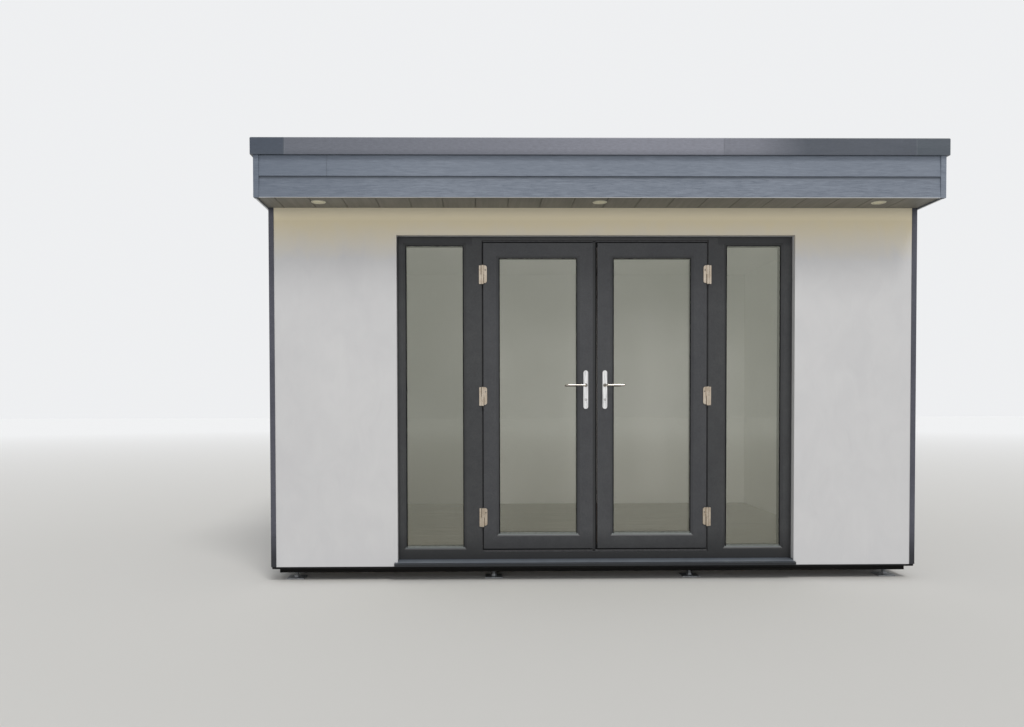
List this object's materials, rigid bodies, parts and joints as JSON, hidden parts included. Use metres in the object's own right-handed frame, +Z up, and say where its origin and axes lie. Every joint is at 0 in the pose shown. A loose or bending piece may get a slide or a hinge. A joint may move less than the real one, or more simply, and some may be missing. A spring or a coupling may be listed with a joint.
{
  "type": "garden office pod",
  "caption": "Flat-roofed garden room with rendered walls, a front overhang with downlights, glazed outward-opening doors between fixed sidelights, and adjustable feet.",
  "frame": {"origin": "on the ground, under the middle of the roof's plan", "axes": "+Z up, -Y towards the front with the doors, +X to the right seen from the front"},
  "size_m": [4.154, 3.352, 2.698],
  "materials": {
    "galvanised_steel": "galvanised",
    "base_timber": "dark treated timber",
    "panel_timber": "bare insulated timber panel",
    "floor_boards": "dark oiled boards",
    "render": "fine smooth render",
    "wall_trim": "matt anthracite",
    "lining": "painted white board",
    "membrane": "matt black sheet",
    "soffit": "grooved boards",
    "downlight_metal": "satin off-white",
    "downlight_lens": "frosted",
    "fascia": "painted blue-grey with a raised grain",
    "closure": "mill",
    "roof_trim": "satin anthracite",
    "sill": "satin anthracite",
    "frame": "satin anthracite",
    "glazing": "clear sealed units",
    "hardware": "polished"
  },
  "bodies": {
    "pod": {"feet": "galvanised_steel", "base_rails": "base_timber", "base_bearers": "base_timber", "floor_panel": "panel_timber", "floor_boards": "floor_boards", "front_wall_left": "panel_timber", "front_wall_right": "panel_timber", "front_wall_over_door": "panel_timber", "left_wall": "panel_timber", "right_wall": "panel_timber", "back_wall": "panel_timber", "front_render": "render", "left_render": "render", "right_render": "render", "back_render": "render", "corner_trims": "wall_trim", "wall_lining": "lining", "ceiling_board": "lining", "roof_panel": "panel_timber", "roof_membrane": "membrane", "soffit_boards": "soffit", "downlight_bezels": "downlight_metal", "downlight_lenses": "downlight_lens", "fascia_boards": "fascia", "fascia_corner_trims": "fascia", "fascia_closure_strip": "closure", "roof_edge_lengths": "roof_trim", "roof_edge_corners": "roof_trim", "door_sill": "sill", "door_frame": "frame", "left_sidelight_frame": "frame", "right_sidelight_frame": "frame", "sidelight_glass": "glazing", "frame_hinges": "hardware"},
    "left_door": {"left_leaf": "frame", "left_leaf_glass": "glazing", "meeting_strip": "frame", "left_leaf_hinges": "hardware", "left_handle_plates": "hardware"},
    "right_door": {"right_leaf": "frame", "right_leaf_glass": "glazing", "right_leaf_hinges": "hardware", "right_handle_plates": "hardware"},
    "left_handle": {"left_levers": "hardware"},
    "right_handle": {"right_levers": "hardware"}
  },
  "joints": [
    {"name": "left_door_swing", "type": "hinge", "parent": "pod", "child": "left_door", "pos_m": [-0.708, -1.307, 1.171], "axis": [0, 0, -1], "range_deg": [0, 100]},
    {"name": "right_door_swing", "type": "hinge", "parent": "pod", "child": "right_door", "pos_m": [0.732, -1.307, 1.171], "axis": [0, 0, 1], "range_deg": [0, 100]},
    {"name": "left_lever_turn", "type": "hinge", "parent": "left_door", "child": "left_handle", "pos_m": [-0.049, -1.297, 1.241], "axis": [0, -1, 0], "range_deg": [0, 35], "stiffness_Nm_per_rad": 3, "springref_deg": -22.92},
    {"name": "right_lever_turn", "type": "hinge", "parent": "right_door", "child": "right_handle", "pos_m": [0.073, -1.297, 1.241], "axis": [0, 1, 0], "range_deg": [0, 35], "stiffness_Nm_per_rad": 3, "springref_deg": -22.92}
  ]
}
